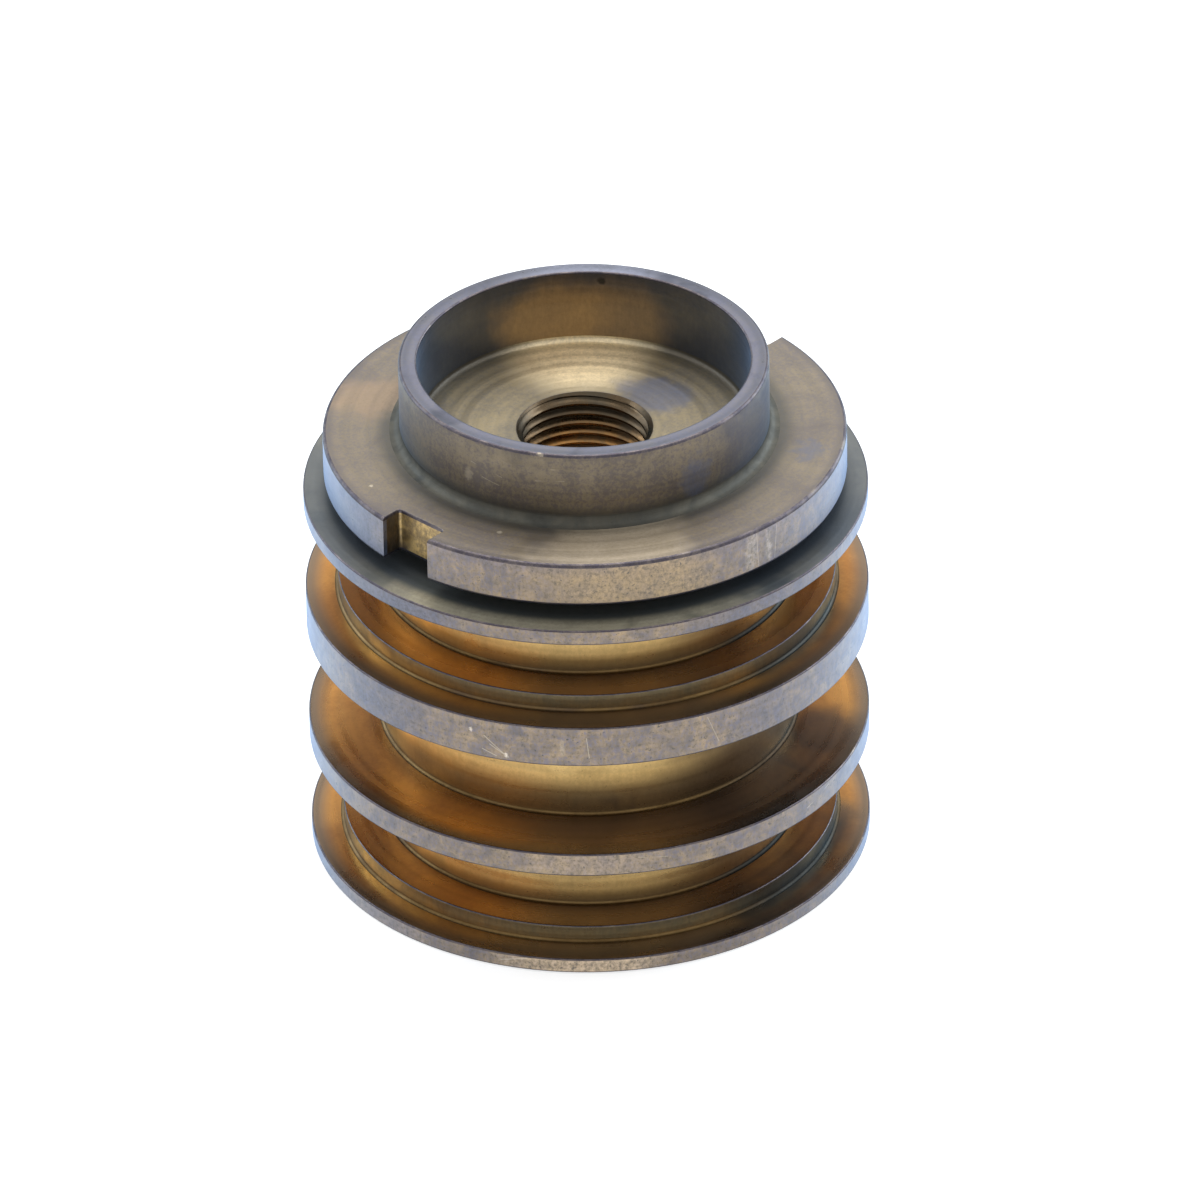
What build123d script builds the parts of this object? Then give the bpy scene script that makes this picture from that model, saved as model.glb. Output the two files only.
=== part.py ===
from build123d import *
import os

# Grooved piston, turned from one piece of brass bar. Four thin lands run in the cylinder and part
# three seal grooves, two of them stepped. A notched flange and an open cup stand above the top land,
# and a threaded rod hole runs down the axis from the cup's floor to the base.
# Millimetres, +Z up along the turning axis, origin at the centre of the base face.

# Lands, which run in a 50 mm cylinder
land_dia = 50.0
foot_land = 1.4          # thickness of each land, from the base up
lower_land = 2.25
middle_land = 3.95
top_land = 1.45
land_edge = 0.12         # edge break on the lands

# Seal grooves, and the step on the lower side of the outer two
groove_depth = 6.5
lower_groove = 7.2       # clear width of each groove, above its step
middle_groove = 9.25
upper_groove = 7.0
groove_corner = 0.3      # corner left by the grooving tool
step_height = 1.6
step_depth = 2.9         # how far the step's wall lies inside the lands
step_edge = 0.1

# Neck and notched flange
neck_gap = 1.45
flange_inset = 1.85      # how far the flange lies inside the lands
flange_thick = 4.15
flange_edge = 0.3
notch_width = 5.3
notch_depth = 2.25
notch_corner = 0.3

# Cup
cup_bore = 29.46
cup_wall = 1.62
cup_height = 7.0         # rim above the flange
cup_sink = 0.1           # floor below the flange's top face
floor_corner = 0.4
foot_fillet = 0.9
rim_break = 0.22

# Rod hole, tapped M12 x 1 right through
thread_dia = 12.0
thread_pitch = 1.0
mouth_chamfer = 0.55

# Radii
land_r = land_dia / 2
step_r = land_r - step_depth
core_r = land_r - groove_depth
flange_r = land_r - flange_inset
cup_inner_r = cup_bore / 2
cup_outer_r = cup_inner_r + cup_wall
hole_r = (thread_dia - 1.0825 * thread_pitch) / 2

# Heights, stacked from the base
foot_top = foot_land
lower_bottom = foot_top + step_height + lower_groove
lower_top = lower_bottom + lower_land
middle_bottom = lower_top + middle_groove
middle_top = middle_bottom + middle_land
top_bottom = middle_top + step_height + upper_groove
top_top = top_bottom + top_land
flange_bottom = top_top + neck_gap
flange_top = flange_bottom + flange_thick
floor_z = flange_top - cup_sink
rim_z = flange_top + cup_height

# An edge never takes more than its own wall can give
wall_break = min(rim_break, 0.4 * cup_wall)


def disc(radius, low, high):
    """One disc of the half section, from the axis out to its radius."""
    with Locations((0, low)):
        Rectangle(radius, high - low, align=(Align.MIN, Align.MIN))


def corners(sketch, radius, low=0.0, high=rim_z):
    """The half section's corners that lie at one radius, between two heights."""
    return [v for v in sketch.vertices()
            if abs(v.X - radius) < 1e-4 and low - 1e-4 < v.Y < high + 1e-4]


with BuildPart() as piston:
    with BuildSketch(Plane.XZ) as section:
        disc(core_r, 0, flange_top)
        disc(land_r, 0, foot_top)
        disc(step_r, 0, foot_top + step_height)
        disc(land_r, lower_bottom, lower_top)
        disc(land_r, middle_bottom, middle_top)
        disc(step_r, middle_bottom, middle_top + step_height)
        disc(land_r, top_bottom, top_top)
        disc(flange_r, flange_bottom, flange_top)
        disc(cup_outer_r, flange_bottom, rim_z)
        with Locations((0, floor_z)):
            Rectangle(cup_inner_r, rim_z, align=(Align.MIN, Align.MIN), mode=Mode.SUBTRACT)
        Rectangle(hole_r, floor_z, align=(Align.MIN, Align.MIN), mode=Mode.SUBTRACT)

        chamfer(corners(section, core_r, high=top_bottom), groove_corner)
        chamfer(corners(section, step_r, foot_top, foot_top)
                + corners(section, step_r, middle_top, middle_top), groove_corner)
        chamfer(corners(section, step_r, foot_top + step_height, lower_bottom)
                + corners(section, step_r, middle_top + step_height, top_bottom), step_edge)
        chamfer(corners(section, land_r), land_edge)
        chamfer(corners(section, flange_r), flange_edge)
        fillet(corners(section, cup_outer_r, flange_top, flange_top), foot_fillet)
        chamfer(corners(section, cup_inner_r, floor_z, floor_z), floor_corner)
        chamfer(corners(section, cup_outer_r, rim_z) + corners(section, cup_inner_r, rim_z), wall_break)
        chamfer(corners(section, hole_r), mouth_chamfer)
    revolve(axis=Axis.Z)

    # Two notches, opposite each other, milled through the flange's rim
    with BuildSketch(Plane.XY.offset(flange_bottom)):
        with Locations((flange_r, 0), (-flange_r, 0)):
            RectangleRounded(2 * notch_depth, notch_width, notch_corner)
    extrude(amount=flange_thick, mode=Mode.SUBTRACT)

piston.part.label = "piston_body"
os.makedirs("parts", exist_ok=True)
export_step(piston.part, "parts/piston_body.step")
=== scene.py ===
import logging
import math
from collections.abc import Iterable
from dataclasses import dataclass, field, replace
from enum import Enum
from typing import Self

import bpy
from mathutils import Matrix, Vector


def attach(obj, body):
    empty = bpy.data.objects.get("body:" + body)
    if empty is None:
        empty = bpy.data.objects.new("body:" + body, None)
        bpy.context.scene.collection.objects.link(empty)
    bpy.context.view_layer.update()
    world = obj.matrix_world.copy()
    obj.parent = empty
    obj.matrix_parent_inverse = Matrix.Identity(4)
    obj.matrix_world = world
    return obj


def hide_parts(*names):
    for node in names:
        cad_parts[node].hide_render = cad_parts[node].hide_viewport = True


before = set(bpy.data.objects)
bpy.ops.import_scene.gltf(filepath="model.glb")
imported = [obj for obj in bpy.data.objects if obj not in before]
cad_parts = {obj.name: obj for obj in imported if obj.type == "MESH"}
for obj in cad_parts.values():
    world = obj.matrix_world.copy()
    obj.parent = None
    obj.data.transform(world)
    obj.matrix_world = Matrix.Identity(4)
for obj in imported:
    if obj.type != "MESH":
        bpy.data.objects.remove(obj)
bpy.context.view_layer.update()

log = logging.getLogger("piston")
# Metres in a millimetre.
MM = 0.001
# Two angles closer than this many radians count as one.
HAIR = 1e-7


class Surface(Enum):
    """The kinds of surface on the piston, each with a finish of its own."""

    RIM = 0
    FACE = 1
    STEP = 2
    CORE = 3
    CUP_OUTSIDE = 4
    CUP_RIM = 5
    CUP_INSIDE = 6
    CUP_FLOOR = 7
    FLANGE_TOP = 8
    NOTCH = 9
    THREAD = 10
    EDGE = 11
    FILLET = 12
    SEAT = 13
    UNDER = 14
    CUP_FOOT = 15


@dataclass(frozen=True)
class Corner:
    """One corner of the turned section, in millimetres."""

    r: float
    z: float
    radius: float
    after: Surface
    arc: Surface = Surface.EDGE

    def at(self) -> Vector:
        """The corner as a point of the section."""
        return Vector((self.r, self.z))


@dataclass(frozen=True)
class Ring:
    """One ring of vertices: its place on the section, and the surface from it to the next ring."""

    r: float
    z: float
    after: Surface


@dataclass
class Section:
    """The closed outline that is turned about the axis, with every corner rounded."""

    corners: list[Corner]
    steps: int = 5
    guard: float = 0.05

    def rings(self) -> list[Ring]:
        """Round each corner and guard its arc with a ring on either side.

        Returns:
            The rings in order round the section.
        """
        rings: list[Ring] = []
        count = len(self.corners)
        for i, corner in enumerate(self.corners):
            back = (self.corners[i - 1].at() - corner.at()).normalized()
            ahead = (self.corners[(i + 1) % count].at() - corner.at()).normalized()
            rings += self._round(corner, back, ahead, self.corners[i - 1].after)
        return rings

    def _round(self, corner: Corner, back: Vector, ahead: Vector, before: Surface) -> list[Ring]:
        """The rings of one rounded corner.

        Args:
            corner: The corner to round.
            back: Direction from the corner to the one before.
            ahead: Direction from the corner to the next one.
            before: The surface that leads to this corner.

        Returns:
            A guard ring, the arc's rings and another guard ring.
        """
        if corner.radius == 0:
            return [Ring(corner.r, corner.z, corner.after)]
        half = back.angle(ahead) / 2
        reach = corner.radius / math.tan(half)
        centre = corner.at() + (back + ahead).normalized() * corner.radius / math.sin(half)
        first = corner.at() + back * reach - centre
        last = corner.at() + ahead * reach - centre
        sweep = first.angle_signed(last)
        arc = []
        for step in range(self.steps + 1):
            turn = Matrix.Rotation(-sweep * step / self.steps, 2)
            arc.append(centre + turn @ first)
        points = [arc[0] + back * self.guard, *arc, arc[-1] + ahead * self.guard]
        surfaces = [before] + [corner.arc] * self.steps + [corner.after] * 2
        return [Ring(p.x, p.y, surface) for p, surface in zip(points, surfaces)]


@dataclass
class Notches:
    """Two parallel-sided notches in the flange's rim, on +X and -X. Sizes in millimetres.

    Half a notch has columns on its floor, round its corner and up its wall. On a ring that lies inside
    the flange's own outline the notch grows by a share of that inset, which breaks its edges.
    """

    flange_r: float
    width: float = 5.3
    floor: float = 20.9
    corner: float = 0.3
    edge_share: float = 0.35
    floor_columns: int = 4
    corner_columns: int = 4
    wall_columns: int = 4
    wall_step: float = 0.03

    def count(self) -> int:
        """How many columns half a notch has."""
        return self.floor_columns + self.corner_columns + self.wall_columns

    def mouth(self, inset: float = 0.0) -> float:
        """Angle in radians from the notch's middle to its wall, at one inset from the rim."""
        return math.asin(self._half(inset) / (self.flange_r - inset))

    def _half(self, inset: float) -> float:
        """Half the notch's width at one inset."""
        return self.width / 2 + self.edge_share * inset

    def columns(self) -> list[float]:
        """Nominal angles inside half a notch, from its middle to just short of its wall."""
        return [self.mouth() * n / self.count() for n in range(self.count())]

    @staticmethod
    def _fold(angle: float) -> tuple[int, int, float]:
        """Fold an angle into the first quarter.

        Args:
            angle: An angle from -pi to pi.

        Returns:
            The signs of its x and its y, and its angle from the middle of the nearer notch.
        """
        side = 1 if abs(angle) <= math.pi / 2 else -1
        turn = 1 if angle >= 0 else -1
        near = abs(angle) if side > 0 else math.pi - abs(angle)
        return side, turn, near

    def _beyond(self, near: float, opened: float, radius: float) -> tuple[float, float]:
        """A point of a ring outside the notch, where the columns spread out evenly.

        Args:
            near: The column's nominal angle from the notch's middle.
            opened: The angle at which the notch ends on this ring.
            radius: The ring's radius.

        Returns:
            Its x and y in the first quarter, in millimetres.
        """
        mouth = self.mouth()
        spread = opened + (near - mouth) * (math.pi / 2 - opened) / (math.pi / 2 - mouth)
        return radius * math.cos(spread), radius * math.sin(spread)

    def _inside(self, share: float, inset: float) -> tuple[float, float]:
        """A point on half the notch's own outline.

        Args:
            share: 0 in the middle of the floor, 1 at the mouth.
            inset: How far inside the metal the ring lies.

        Returns:
            Its x and y in the first quarter, in millimetres.
        """
        half = self._half(inset)
        floor = self.floor - self.edge_share * inset
        corner = self.corner + self.edge_share * inset
        place = share * self.count()
        if place <= self.floor_columns:
            return floor, (half - corner) * place / self.floor_columns
        place -= self.floor_columns
        if place <= self.corner_columns:
            bend = math.pi / 2 * place / self.corner_columns
            return floor + corner * (1 - math.cos(bend)), half - corner * (1 - math.sin(bend))
        place = (place - self.corner_columns) / self.wall_columns
        mouth = math.sqrt((self.flange_r - inset) ** 2 - half**2)
        start = floor + corner
        return start + (mouth - start) * place, half

    def outline(self, angle: float, inset: float) -> tuple[float, float]:
        """Where a column stands on the notched rim.

        Args:
            angle: The column's nominal angle, from -pi to pi.
            inset: How far inside the rim's own outline the ring lies.

        Returns:
            Its x and y, in millimetres.
        """
        side, turn, near = self._fold(angle)
        if near >= self.mouth() - HAIR:
            x, y = self._beyond(near, self.mouth(inset), self.flange_r - inset)
        else:
            x, y = self._inside(near / self.mouth(), inset)
        return side * x, turn * y

    def seat(self, angle: float, radius: float, inset: float) -> tuple[float, float]:
        """Where a column crosses the plain ring just inside the notches' floors.

        Args:
            angle: The column's nominal angle, from -pi to pi.
            radius: The ring's radius.
            inset: How far inside the rim the next ring out lies.

        Returns:
            Its x and y, in millimetres.
        """
        side, turn, near = self._fold(angle)
        if near >= self.mouth() - HAIR:
            widest = self._half(inset) + self.wall_step * self.wall_columns
            x, y = self._beyond(near, math.asin(widest / radius), radius)
        else:
            share = near / self.mouth()
            along_wall = max(0.0, share * self.count() - self.floor_columns - self.corner_columns)
            y = self._inside(share, inset)[1] + self.wall_step * along_wall
            x = math.sqrt(radius**2 - y**2)
        return side * x, turn * y


def make_piece(name: str, verts: Iterable[tuple[float, float, float]], quads: list[tuple[int, ...]],
               surfaces: list[int], sharp: float) -> bpy.types.Object:
    """Make one closed mesh piece from millimetre points.

    Args:
        name: The piece's name.
        verts: Its points, in millimetres.
        quads: Its faces.
        surfaces: The material number of each face.
        sharp: Edges bent by more than this many degrees stay sharp.

    Returns:
        The new object, smooth shaded and linked to the scene.
    """
    mesh = bpy.data.meshes.new(name)
    mesh.from_pydata([tuple(MM * c for c in v) for v in verts], [], quads)
    mesh.polygons.foreach_set("material_index", surfaces)
    mesh.validate()
    mesh.shade_smooth()
    mesh.set_sharp_from_angle(angle=math.radians(sharp))
    piece = bpy.data.objects.new(name, mesh)
    bpy.context.scene.collection.objects.link(piece)
    return piece


@dataclass
class PistonBody:
    """The turned body: lands, grooves, steps, notched flange and cup. Sizes in millimetres.

    Names that end in _r are radii. Names with bottom, top, floor_z and rim_z are heights above the
    foot, edges and fillets are the radii of corners, and the lands are called foot, lower, middle and
    top, from below.
    """

    land_r: float = 25.0
    step_r: float = 22.1
    core_r: float = 18.5
    flange_r: float = 23.15
    cup_outer_r: float = 16.35
    cup_inner_r: float = 14.73
    mouth_r: float = 6.05
    foot_top: float = 1.4
    step_height: float = 1.6
    lower_bottom: float = 10.2
    lower_top: float = 12.45
    middle_bottom: float = 21.7
    middle_top: float = 25.65
    top_bottom: float = 34.25
    top_top: float = 35.7
    flange_bottom: float = 37.15
    flange_top: float = 41.3
    floor_z: float = 41.2
    rim_z: float = 48.3
    edge: float = 0.14
    fillet: float = 0.3
    flange_edge: float = 0.3
    foot_fillet: float = 0.9
    floor_fillet: float = 0.5
    bore_edge: float = 0.02
    step_edge: float = 0.1
    neck_edge: float = 0.1
    rim_outer_edge: float = 0.25
    rim_inner_edge: float = 0.15
    seat_gap: float = 0.4
    height_slack: float = 0.01
    columns_per_quarter: int = 88
    sharp_deg: float = 50
    notches: Notches = field(init=False)

    def __post_init__(self) -> None:
        """Cut the notches to the flange's own rim."""
        self.notches = Notches(self.flange_r)

    def seat_r(self) -> float:
        """Radius of the plain ring that the notches' floors stand on."""
        return self.notches.floor - self.seat_gap

    def section(self) -> Section:
        """The half section from the hole's foot, up the outside and down into the cup.

        Returns:
            The section, with the surface that follows each corner.
        """
        edge, fillet = self.edge, self.fillet
        rim, face, step, core = Surface.RIM, Surface.FACE, Surface.STEP, Surface.CORE
        hollow, under, seat = Surface.FILLET, Surface.UNDER, self.seat_r()
        lower_step = self.foot_top + self.step_height
        upper_step = self.middle_top + self.step_height
        return Section([
            Corner(self.mouth_r, 0, self.bore_edge, under),
            Corner(self.land_r, 0, edge, rim),
            Corner(self.land_r, self.foot_top, edge, face),
            Corner(self.step_r, self.foot_top, fillet, step, hollow),
            Corner(self.step_r, lower_step, self.step_edge, face),
            Corner(self.core_r, lower_step, fillet, core, hollow),
            Corner(self.core_r, self.lower_bottom, fillet, under, hollow),
            Corner(self.land_r, self.lower_bottom, edge, rim),
            Corner(self.land_r, self.lower_top, edge, face),
            Corner(self.core_r, self.lower_top, fillet, core, hollow),
            Corner(self.core_r, self.middle_bottom, fillet, under, hollow),
            Corner(self.land_r, self.middle_bottom, edge, rim),
            Corner(self.land_r, self.middle_top, edge, face),
            Corner(self.step_r, self.middle_top, fillet, step, hollow),
            Corner(self.step_r, upper_step, self.step_edge, face),
            Corner(self.core_r, upper_step, fillet, core, hollow),
            Corner(self.core_r, self.top_bottom, fillet, under, hollow),
            Corner(self.land_r, self.top_bottom, edge, rim),
            Corner(self.land_r, self.top_top, edge, Surface.SEAT),
            Corner(self.core_r, self.top_top, self.neck_edge, core),
            Corner(self.core_r, self.flange_bottom, self.neck_edge, under),
            Corner(seat, self.flange_bottom, 0, under),
            Corner(self.flange_r, self.flange_bottom, self.flange_edge, rim),
            Corner(self.flange_r, self.flange_top, self.flange_edge, Surface.FLANGE_TOP),
            Corner(seat, self.flange_top, 0, Surface.FLANGE_TOP),
            Corner(self.cup_outer_r, self.flange_top, self.foot_fillet, Surface.CUP_OUTSIDE,
                   Surface.CUP_FOOT),
            Corner(self.cup_outer_r, self.rim_z, self.rim_outer_edge, Surface.CUP_RIM),
            Corner(self.cup_inner_r, self.rim_z, self.rim_inner_edge, Surface.CUP_INSIDE),
            Corner(self.cup_inner_r, self.floor_z, self.floor_fillet, Surface.CUP_FLOOR,
                   Surface.CUP_FLOOR),
            Corner(self.mouth_r, self.floor_z, self.bore_edge, Surface.THREAD),
        ])

    def _angles(self) -> list[float]:
        """Spread the columns round the part, with more of them in the notches.

        Returns:
            Their nominal angles, from -pi to pi.
        """
        mouth = self.notches.mouth()
        count = self.columns_per_quarter
        plain = [mouth + (math.pi / 2 - mouth) * n / count for n in range(count)]
        quarter = self.notches.columns() + plain
        half = quarter + [math.pi / 2] + [math.pi - a for a in reversed(quarter)]
        return [-a for a in reversed(half[1:-1])] + half

    def _in_flange(self, z: float) -> bool:
        """Whether a height belongs to the flange, faces included."""
        return self.flange_bottom - self.height_slack < z < self.flange_top + self.height_slack

    def _place(self, ring: Ring, angle: float) -> tuple[float, float]:
        """Where one column crosses one ring, seen from above.

        Args:
            ring: The ring of the section.
            angle: The column's nominal angle.

        Returns:
            Its x and y, in millimetres.
        """
        if self._in_flange(ring.z):
            if ring.r > self.notches.floor:
                return self.notches.outline(angle, self.flange_r - ring.r)
            if ring.r == self.seat_r():
                return self.notches.seat(angle, ring.r, self.flange_edge + Section.guard)
        return ring.r * math.cos(angle), ring.r * math.sin(angle)

    def _surface(self, ring: Ring, angle: float) -> Surface:
        """The surface from one ring to the next, at one column.

        Args:
            ring: The ring of the section.
            angle: The column's nominal angle.

        Returns:
            The notches' surface inside a notch, and elsewhere the ring's own.
        """
        near = min(abs(angle), math.pi - abs(angle))
        on_flange = ring.after is Surface.RIM and ring.z >= self.flange_bottom
        return Surface.NOTCH if on_flange and near < self.notches.mouth() - HAIR else ring.after

    def build(self) -> bpy.types.Object:
        """Turn the section and cut the notches into the flange's rings.

        Returns:
            The body as one closed mesh.
        """
        rings, angles = self.section().rings(), self._angles()
        verts, quads, surfaces = [], [], []
        wide = len(angles)
        for i, ring in enumerate(rings):
            after = (i + 1) % len(rings)
            for k, angle in enumerate(angles):
                beside = (k + 1) % wide
                verts.append((*self._place(ring, angle), ring.z))
                quads.append((i * wide + k, i * wide + beside, after * wide + beside, after * wide + k))
                surfaces.append(self._surface(ring, angle).value)
        return make_piece("piston_turned", verts, quads, surfaces, self.sharp_deg)

    def dress(self, body: bpy.types.Object, materials: dict[Surface, bpy.types.Material]) -> None:
        """Give every surface its material and set the body in the frame.

        Args:
            body: The turned body.
            materials: The material of each kind of surface.
        """
        for surface in Surface:
            body.data.materials.append(materials[surface])
        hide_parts("piston_body")
        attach(body, "root")


@dataclass
class RodThread:
    """The M12 x 1 thread in the rod hole, as one closed liner. Sizes in millimetres.

    The crest and the root are flat over their shares of the pitch, with straight flanks between them.
    """

    outer_r: float = 6.04
    root_r: float = 5.97
    crest_r: float = 5.46
    mouth_r: float = 6.02
    pitch: float = 1.0
    bottom: float = 0.0
    top: float = 41.2
    crest_share: float = 0.2
    root_share: float = 0.1
    columns: int = 96
    rows_per_turn: int = 12
    sharp_deg: float = 24

    def _depth(self, turn: float) -> float:
        """Radius of the thread at a point of its pitch.

        Args:
            turn: How many turns up the thread the point is.

        Returns:
            The radius on the crest, the root or the flank between them.
        """
        flank = (1 - self.crest_share - self.root_share) / 2
        place = turn % 1.0
        if place < self.crest_share:
            return self.crest_r
        place -= self.crest_share
        if place < flank:
            return self.crest_r + (self.root_r - self.crest_r) * place / flank
        place -= flank
        if place < self.root_share:
            return self.root_r
        place -= self.root_share
        return self.root_r - (self.root_r - self.crest_r) * place / flank

    def _point(self, row: int, column: int) -> tuple[float, float, float]:
        """A point of the helical wall, trimmed by the chamfers at both mouths.

        Args:
            row: Its row along the thread's profile.
            column: Its column round the hole.

        Returns:
            Its x, y and z, in millimetres.
        """
        angle = 2 * math.pi * column / self.columns
        turn = row / self.rows_per_turn
        z = self.bottom + self.pitch * (turn - 1 + angle / (2 * math.pi))
        z = min(max(z, self.bottom), self.top)
        chamfer = self.mouth_r - min(self.top - z, z - self.bottom)
        r = max(self._depth(turn), chamfer)
        return r * math.cos(angle), r * math.sin(angle), z

    def build(self) -> bpy.types.Object:
        """Make the helical wall and close it with an outer wall.

        Returns:
            The liner as one closed mesh.
        """
        length = self.top - self.bottom
        rows = int(length / self.pitch + 2) * self.rows_per_turn
        verts = [self._point(i, k) for i in range(rows) for k in range(self.columns + 1)]
        wide = self.columns + 1
        for z in (self.top, self.bottom):
            for k in range(wide):
                angle = 2 * math.pi * k / self.columns
                verts.append((self.outer_r * math.cos(angle), self.outer_r * math.sin(angle), z))
        loops = rows + 2
        quads = []
        for i in range(loops):
            after = (i + 1) % loops
            quads += [(i * wide + k, after * wide + k, after * wide + k + 1, i * wide + k + 1)
                      for k in range(self.columns)]
        return make_piece("rod_thread", verts, quads, [0] * len(quads), self.sharp_deg)

    def dress(self, thread: bpy.types.Object, materials: dict[Surface, bpy.types.Material]) -> None:
        """Give the thread its material and set it in the frame.

        Args:
            thread: The liner.
            materials: The material of each kind of surface.
        """
        thread.data.materials.append(materials[Surface.THREAD])
        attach(thread, "root")


Colour = tuple[float, float, float]
Plug = bpy.types.NodeSocket | float | tuple[float, ...]


@dataclass
class NodeBench:
    """Adds nodes to one material or world and links them. Lengths along the part are in millimetres."""

    tree: bpy.types.NodeTree

    def add(self, kind: str, plugs: dict[str | int, Plug] | None = None,
            **choices: str | bool) -> bpy.types.Node:
        """Add a node.

        Args:
            kind: The node's type name, without its ShaderNode start.
            plugs: What goes into its inputs, by name or number.
            **choices: Its settings.

        Returns:
            The new node.
        """
        node = self.tree.nodes.new("ShaderNode" + kind)
        for name, choice in choices.items():
            setattr(node, name, choice)
        for name, value in (plugs or {}).items():
            self.plug(node.inputs[name], value)
        return node

    def plug(self, socket: bpy.types.NodeSocket, value: Plug) -> None:
        """Link a socket to another, or set it to a value.

        Args:
            socket: The input.
            value: Another node's output, a number, or a colour or vector.
        """
        if isinstance(value, bpy.types.NodeSocket):
            self.tree.links.new(value, socket)
        elif isinstance(value, tuple) and socket.type == "RGBA":
            socket.default_value = (*value, 1)
        else:
            socket.default_value = value

    def sum(self, operation: str, first: Plug, second: Plug = 0.0,
            clamp: bool = False) -> bpy.types.NodeSocket:
        """One step of arithmetic on two numbers, kept between 0 and 1 where clamp is set."""
        return self.add("Math", {0: first, 1: second}, operation=operation, use_clamp=clamp).outputs[0]

    def rise(self, value: Plug, low: float, high: float) -> bpy.types.NodeSocket:
        """A smooth rise from 0 at low to 1 at high, or a fall where low is the greater."""
        plugs = {"Value": value, "From Min": low, "From Max": high}
        return self.add("MapRange", plugs, interpolation_type="SMOOTHSTEP").outputs["Result"]

    def blend(self, share: Plug, first: Plug, second: Plug) -> bpy.types.NodeSocket:
        """A colour between two, first at 0 and second at 1."""
        return self.add("Mix", {0: share, 6: first, 7: second}, data_type="RGBA").outputs[2]

    def times(self, colour: Plug, factor: Plug) -> bpy.types.NodeSocket:
        """A colour made darker or lighter by a factor."""
        return self.add("VectorMath", {0: colour, "Scale": factor}, operation="SCALE").outputs[0]


@dataclass(frozen=True)
class Grain:
    """A noise pattern: its marks per unit of length, the layers of finer noise and a twist."""

    marks: float = 1.0
    layers: float = 3
    rough: float = 0.6
    twist: float = 0

    def read(self, bench: NodeBench, place: Plug, unit: float = 1.0) -> bpy.types.NodeSocket:
        """Read the pattern.

        Args:
            bench: Where the nodes go.
            place: The place on the part, in millimetres.
            unit: The unit of length, in millimetres.

        Returns:
            Noise from 0 to 1, mostly near 0.5.
        """
        plugs = {"Vector": place, "Scale": self.marks / unit, "Detail": self.layers,
                 "Roughness": self.rough, "Distortion": self.twist}
        return bench.add("TexNoise", plugs).outputs["Fac"]


@dataclass(frozen=True)
class Spot:
    """A stain, worn patch, chip, painted highlight or painted shade at one place on the part.

    The bearing is in degrees round the axis, 0 towards +X. The radius, height and size are in
    millimetres. Tall stretches it along the axis. Ragged is how rough its border is: lobes is the
    border's own pattern and wander how far that pattern can push it. Solid_share is the part of its
    size within which it doesn't fade.
    """

    bearing: float
    radius: float
    height: float
    size: float
    colour: Colour
    strength: float = 0.8
    tall: float = 1.0
    ragged: float = 0.6
    solid_share: float = 0.35
    wander: float = 3.0
    lobes: Grain = Grain(0.9, 3, 0.7)

    def place(self) -> tuple[float, float, float]:
        """The middle of the spot, in millimetres."""
        turn = math.radians(self.bearing)
        return self.radius * math.cos(turn), self.radius * math.sin(turn), self.height

    def at_heights(self, *heights: float) -> tuple[Self, ...]:
        """The same spot at several heights."""
        return tuple(replace(self, height=height) for height in heights)

    def at_bearings(self, *bearings: float) -> tuple[Self, ...]:
        """The same spot at several bearings, which run together into one long stain."""
        return tuple(replace(self, bearing=bearing) for bearing in bearings)

    def lay(self, bench: NodeBench, point: Plug, under: Plug) -> bpy.types.NodeSocket:
        """Lay the spot over a colour.

        Args:
            bench: Where the nodes go.
            point: The place on the part.
            under: The colour below it.

        Returns:
            The colour with the spot on it.
        """
        away = bench.add("VectorMath", {0: point, 1: self.place()}, operation="SUBTRACT").outputs[0]
        squeeze = (1, 1, 1 / self.tall)
        squeezed = bench.add("VectorMath", {0: away, 1: squeeze}, operation="MULTIPLY").outputs[0]
        far = bench.add("VectorMath", {0: squeezed}, operation="LENGTH").outputs["Value"]
        wobble = self.lobes.read(bench, point, self.size)
        reach = self.wander * self.ragged * self.size
        shift = bench.sum("MULTIPLY", bench.sum("SUBTRACT", wobble, 0.5), reach)
        inside = bench.rise(bench.sum("ADD", far, shift), self.size, self.solid_share * self.size)
        return bench.blend(bench.sum("MULTIPLY", inside, self.strength), under, self.colour)


@dataclass(frozen=True)
class Scratch:
    """A thin straight scratch on a turned wall, from one bearing and height to another.

    Bearings are in degrees, the rest in millimetres.
    """

    radius: float
    start: tuple[float, float]
    end: tuple[float, float]
    width: float
    colour: Colour
    strength: float = 0.8
    solid_share: float = 0.3

    def _point(self, bearing: float, height: float) -> Vector:
        """One end of the scratch, in millimetres."""
        turn = math.radians(bearing)
        return Vector((self.radius * math.cos(turn), self.radius * math.sin(turn), height))

    def lay(self, bench: NodeBench, point: Plug, under: Plug) -> bpy.types.NodeSocket:
        """Lay the scratch over a colour.

        Args:
            bench: Where the nodes go.
            point: The place on the part.
            under: The colour below it.

        Returns:
            The colour with the scratch on it.
        """
        first, last = self._point(*self.start), self._point(*self.end)
        along = last - first
        away = bench.add("VectorMath", {0: point, 1: tuple(first)}, operation="SUBTRACT").outputs[0]
        dot = bench.add("VectorMath", {0: away, 1: tuple(along)}, operation="DOT_PRODUCT").outputs["Value"]
        share = bench.sum("DIVIDE", dot, along.length_squared, True)
        near = bench.add("VectorMath", {0: tuple(along), "Scale": share}, operation="SCALE").outputs[0]
        far = bench.add("VectorMath", {0: away, 1: near}, operation="DISTANCE").outputs["Value"]
        inside = bench.rise(far, self.width, self.solid_share * self.width)
        return bench.blend(bench.sum("MULTIPLY", inside, self.strength), under, self.colour)


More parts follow.
